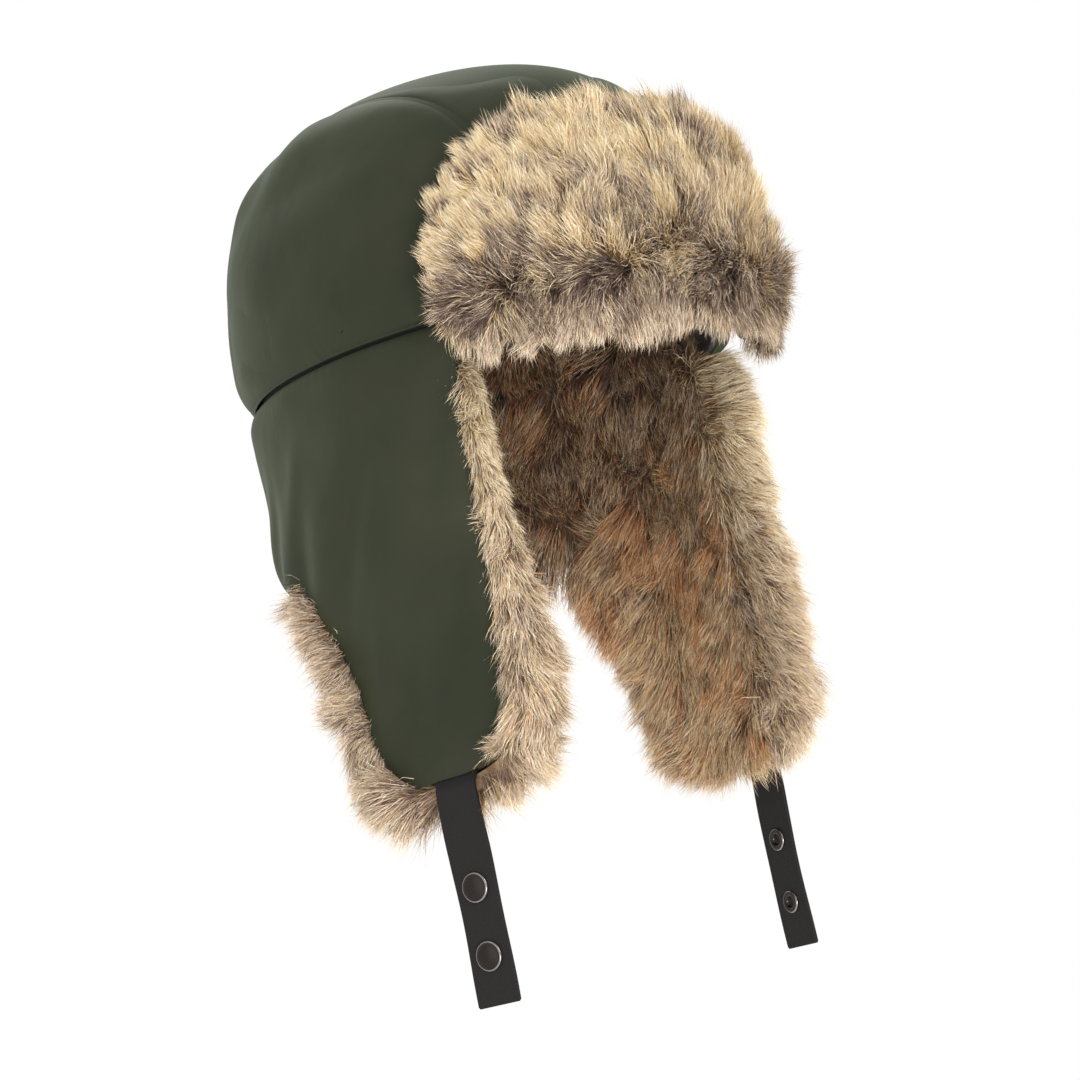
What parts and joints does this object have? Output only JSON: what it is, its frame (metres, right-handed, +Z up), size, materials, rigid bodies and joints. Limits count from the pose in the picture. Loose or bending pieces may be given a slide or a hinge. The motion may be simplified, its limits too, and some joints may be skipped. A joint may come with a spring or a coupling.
{
  "type": "trapper hat",
  "caption": "Padded olive trapper hat with a long-pile fur visor and lining, fold-up ear flaps and black chin straps with snaps.",
  "frame": {"origin": "centre of the head opening, level with the seam that joins the crown to the band", "axes": "+Z up through the crown, -Y is where the wearer looks, +X is the wearer's left"},
  "size_m": [0.2024, 0.2623, 0.4005],
  "materials": {
    "crown_center_panel": "olive satin nylon",
    "crown_side_panel_right": "olive satin nylon",
    "crown_side_panel_left": "olive satin nylon",
    "crown_wadding": "polyester wadding",
    "crown_lining": "dark quilted lining",
    "band_shell": "olive satin nylon",
    "band_wadding": "polyester wadding",
    "neck_fur": "long-pile faux fur, matte",
    "sweatband": "dark facing",
    "visor_backing": "olive satin nylon",
    "visor_stiffener": "stiff interfacing",
    "visor_fur": "long-pile faux fur, matte",
    "ear_shell_right": "olive satin nylon",
    "ear_wadding_right": "polyester wadding",
    "ear_fur_right": "long-pile faux fur, matte",
    "strap_tab_right": "black twill webbing",
    "ear_shell_left": "olive satin nylon",
    "ear_wadding_left": "polyester wadding",
    "ear_fur_left": "long-pile faux fur, matte",
    "strap_tab_left": "black twill webbing",
    "strap_right": "black twill webbing",
    "snap_cap_lower_right": "gunmetal plated, satin",
    "snap_cap_upper_right": "gunmetal plated, satin",
    "snap_socket_lower_right": "gunmetal plated, satin",
    "snap_socket_upper_right": "gunmetal plated, satin",
    "strap_left": "black twill webbing",
    "snap_stud_lower_left": "gunmetal plated, satin",
    "snap_stud_upper_left": "gunmetal plated, satin",
    "snap_post_lower_left": "gunmetal plated, satin",
    "snap_post_upper_left": "gunmetal plated, satin"
  },
  "bodies": {
    "crown": {"crown_center_panel": "crown_center_panel", "crown_side_panel_right": "crown_side_panel_right", "crown_side_panel_left": "crown_side_panel_left", "crown_wadding": "crown_wadding", "crown_lining": "crown_lining", "band_shell": "band_shell", "band_wadding": "band_wadding", "neck_fur": "neck_fur", "sweatband": "sweatband"},
    "visor": {"visor_backing": "visor_backing", "visor_stiffener": "visor_stiffener", "visor_fur": "visor_fur"},
    "ear_right": {"ear_shell_right": "ear_shell_right", "ear_wadding_right": "ear_wadding_right", "ear_fur_right": "ear_fur_right", "strap_tab_right": "strap_tab_right"},
    "ear_left": {"ear_shell_left": "ear_shell_left", "ear_wadding_left": "ear_wadding_left", "ear_fur_left": "ear_fur_left", "strap_tab_left": "strap_tab_left"},
    "chin_right": {"strap_right": "strap_right", "snap_cap_lower_right": "snap_cap_lower_right", "snap_cap_upper_right": "snap_cap_upper_right", "snap_socket_lower_right": "snap_socket_lower_right", "snap_socket_upper_right": "snap_socket_upper_right"},
    "chin_left": {"strap_left": "strap_left", "snap_stud_lower_left": "snap_stud_lower_left", "snap_stud_upper_left": "snap_stud_upper_left", "snap_post_lower_left": "snap_post_lower_left", "snap_post_upper_left": "snap_post_upper_left"}
  },
  "joints": [
    {"name": "visor_fold", "type": "hinge", "parent": "crown", "child": "visor", "pos_m": [0, -0.1235, -0.018], "axis": [1, 0, 0], "range_deg": [0, 150]},
    {"name": "ear_fold_right", "type": "hinge", "parent": "crown", "child": "ear_right", "pos_m": [-0.099, 0, -0.0165], "axis": [0, 1, 0], "range_deg": [0, 160]},
    {"name": "ear_fold_left", "type": "hinge", "parent": "crown", "child": "ear_left", "pos_m": [0.099, 0, -0.0165], "axis": [0, -1, 0], "range_deg": [0, 160]},
    {"name": "strap_swing_right", "type": "hinge", "parent": "ear_right", "child": "chin_right", "pos_m": [-0.09403, -0.02598, -0.199], "axis": [0.1897, -0.9818, 0], "range_deg": [-25, 75]},
    {"name": "strap_swing_left", "type": "hinge", "parent": "ear_left", "child": "chin_left", "pos_m": [0.09403, -0.02598, -0.199], "axis": [0.1897, 0.9818, 0], "range_deg": [-25, 75]}
  ]
}
